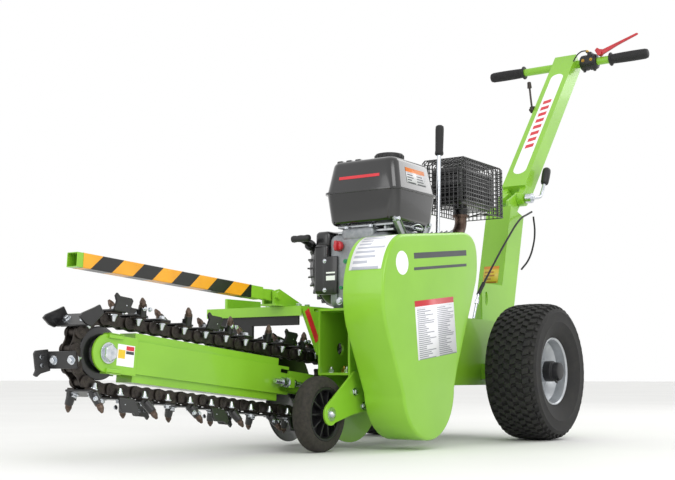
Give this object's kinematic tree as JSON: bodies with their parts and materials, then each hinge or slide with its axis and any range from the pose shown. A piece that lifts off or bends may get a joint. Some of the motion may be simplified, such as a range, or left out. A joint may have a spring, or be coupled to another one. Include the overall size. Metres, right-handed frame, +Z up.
{
  "type": "walk-behind trencher",
  "caption": "Walk-behind petrol trencher: engine on a welded deck, covered belt drive, digging chain on a lifting boom, side auger, turf tyres and a tilting handle.",
  "frame": {"origin": "on the ground, under the middle of the whole machine", "axes": "+X to the nose of the boom, +Y to the belt side, +Z up"},
  "size_m": [2.3903, 0.648, 1.3727],
  "materials": {
    "green_paint": "gloss",
    "tyre_rubber": "matte",
    "silver_paint": "satin",
    "black_plastic": "matte",
    "zinc_steel": "bright",
    "dark_steel": "oiled",
    "black_paint": "satin",
    "cast_alloy": "as cast",
    "rubber": "matte",
    "gloss_black_paint": "gloss",
    "hot_steel": "heat tinted",
    "red_paint": "gloss",
    "hazard_paint": "gloss"
  },
  "bodies": {
    "chassis": {"main_frame": "green_paint", "rear_axle": "green_paint", "rear_post": "green_paint", "front_axle_bolt": "zinc_steel", "front_wheel_arm": "green_paint", "inner_bearing": "cast_alloy", "outer_bearing": "cast_alloy", "belt_cover": "green_paint", "cover_backplate": "green_paint", "drive_belt": "rubber", "crankcase": "cast_alloy", "fan_housing": "black_paint", "recoil_cover": "black_paint", "fuel_tank": "gloss_black_paint", "tank_bracket": "cast_alloy", "air_cleaner": "black_plastic", "muffler": "black_paint", "exhaust_pipe": "hot_steel", "muffler_guard": "black_paint", "chain_hood": "green_paint", "spoil_curtain": "rubber", "bar_bracket": "green_paint", "clutch_cable": "rubber", "brake_cable": "rubber"},
    "left_wheel": {"left_tyre": "tyre_rubber", "left_rim": "silver_paint", "left_hub_cap": "black_plastic"},
    "right_wheel": {"right_tyre": "tyre_rubber", "right_rim": "silver_paint", "right_hub_cap": "black_plastic"},
    "front_wheel": {"front_tyre": "tyre_rubber", "front_rim": "black_plastic"},
    "drive_line": {"drive_shaft": "zinc_steel", "drive_sprocket": "dark_steel", "spoil_auger": "black_paint", "driven_pulley": "cast_alloy"},
    "engine_output": {"engine_pulley": "cast_alloy"},
    "idler": {"idler_arm": "zinc_steel"},
    "idler_wheel": {"idler_pulley": "black_paint"},
    "boom": {"boom_beam": "green_paint", "digging_chain": "dark_steel", "tension_screw": "zinc_steel"},
    "nose": {"nose_fork": "green_paint", "nose_bolt": "zinc_steel"},
    "nose_wheel": {"nose_roller": "black_paint"},
    "guard_bar": {"hazard_bar": "hazard_paint"},
    "handle": {"handle_column": "green_paint", "handlebar": "green_paint", "left_grip": "rubber", "right_grip": "rubber", "control_housing": "black_plastic"},
    "clutch": {"clutch_lever": "red_paint"},
    "throttle": {"throttle_lever": "dark_steel"},
    "handle_clamp": {"clamp_lever": "zinc_steel", "clamp_lever_knob": "black_plastic"},
    "belt_lever": {"drive_lever": "zinc_steel", "drive_lever_grip": "rubber"},
    "starter": {"starter_handle": "black_plastic"},
    "switch": {"engine_switch": "red_paint"},
    "cap": {"fuel_cap": "black_plastic"}
  },
  "joints": [
    {"name": "left_wheel_spin", "type": "hinge", "parent": "chassis", "child": "left_wheel", "pos_m": [-0.29765, 0.249, 0.18842], "axis": [0, 1, 0], "continuous": true},
    {"name": "right_wheel_spin", "type": "hinge", "parent": "chassis", "child": "right_wheel", "pos_m": [-0.29765, -0.249, 0.18842], "axis": [0, 1, 0], "continuous": true},
    {"name": "front_wheel_spin", "type": "hinge", "parent": "chassis", "child": "front_wheel", "pos_m": [0.48935, 0.062, 0.08758], "axis": [0, 1, 0], "continuous": true},
    {"name": "drive_spin", "type": "hinge", "parent": "chassis", "child": "drive_line", "pos_m": [0.27035, 0, 0.145], "axis": [0, 1, 0], "continuous": true},
    {"name": "engine_spin", "type": "hinge", "parent": "chassis", "child": "engine_output", "pos_m": [0.11435, 0, 0.46], "axis": [0, 1, 0], "continuous": true},
    {"name": "idler_swing", "type": "hinge", "parent": "chassis", "child": "idler", "pos_m": [0.37835, 0.14, 0.296], "axis": [0, 1, 0], "range_deg": [-6, 1]},
    {"name": "idler_spin", "type": "hinge", "parent": "idler", "child": "idler_wheel", "pos_m": [0.29835, 0.16, 0.352], "axis": [0, 1, 0], "continuous": true},
    {"name": "boom_lift", "type": "hinge", "parent": "chassis", "child": "boom", "pos_m": [0.27035, -0.07, 0.145], "axis": [0, 1, 0], "range_deg": [0, 45]},
    {"name": "chain_tension", "type": "slide", "parent": "boom", "child": "nose", "axis": [0.9957, 0, 0.0924], "range_m": [-0.015, 0]},
    {"name": "nose_spin", "type": "hinge", "parent": "nose", "child": "nose_wheel", "pos_m": [1.07191, -0.07, 0.21936], "axis": [0, 1, 0], "continuous": true},
    {"name": "guard_bar_lift", "type": "hinge", "parent": "chassis", "child": "guard_bar", "pos_m": [0.50235, -0.07, 0.366], "axis": [0, -1, 0], "range_deg": [0, 80]},
    {"name": "handle_tilt", "type": "hinge", "parent": "chassis", "child": "handle", "pos_m": [-0.69765, 0, 0.745], "axis": [0, 1, 0], "range_deg": [-20, 25]},
    {"name": "clutch_squeeze", "type": "hinge", "parent": "handle", "child": "clutch", "pos_m": [-1.15244, 0.131, 1.319], "axis": [1, 0, 0], "range_deg": [-12, 0], "stiffness_Nm_per_rad": 2.5, "springref_deg": 5.73},
    {"name": "throttle_turn", "type": "hinge", "parent": "handle", "child": "throttle", "pos_m": [-0.96565, -0.05, 1.102], "axis": [0, 1, 0], "range_deg": [-35, 35]},
    {"name": "clamp_turn", "type": "hinge", "parent": "chassis", "child": "handle_clamp", "pos_m": [-0.69765, 0.058, 0.745], "axis": [0, 1, 0], "range_deg": [-60, 45]},
    {"name": "belt_lever_swing", "type": "hinge", "parent": "chassis", "child": "belt_lever", "pos_m": [-0.03565, 0.08, 0.372], "axis": [0, 1, 0], "range_deg": [-10, 8]},
    {"name": "starter_pull", "type": "slide", "parent": "chassis", "child": "starter", "axis": [0.9536, 0, 0.3011], "range_m": [0, 0.35], "stiffness_N_per_m": 15, "springref_m": -0.05},
    {"name": "switch_turn", "type": "hinge", "parent": "chassis", "child": "switch", "pos_m": [0.23435, -0.062, 0.511], "axis": [1, 0, 0], "range_deg": [0, 60]},
    {"name": "fuel_cap_turn", "type": "hinge", "parent": "chassis", "child": "cap", "pos_m": [0.09735, 0.015, 0.757], "axis": [0, 0, 1], "range_deg": [0, 100]}
  ],
  "couplings": [
    {"joint": "engine_spin", "follows": "drive_spin", "ratio": 2.1915},
    {"joint": "nose_spin", "follows": "drive_spin", "ratio": 1},
    {"joint": "idler_spin", "follows": "drive_spin", "ratio": -3.9615},
    {"joint": "idler_swing", "follows": "clutch_squeeze", "ratio": 0.45}
  ]
}
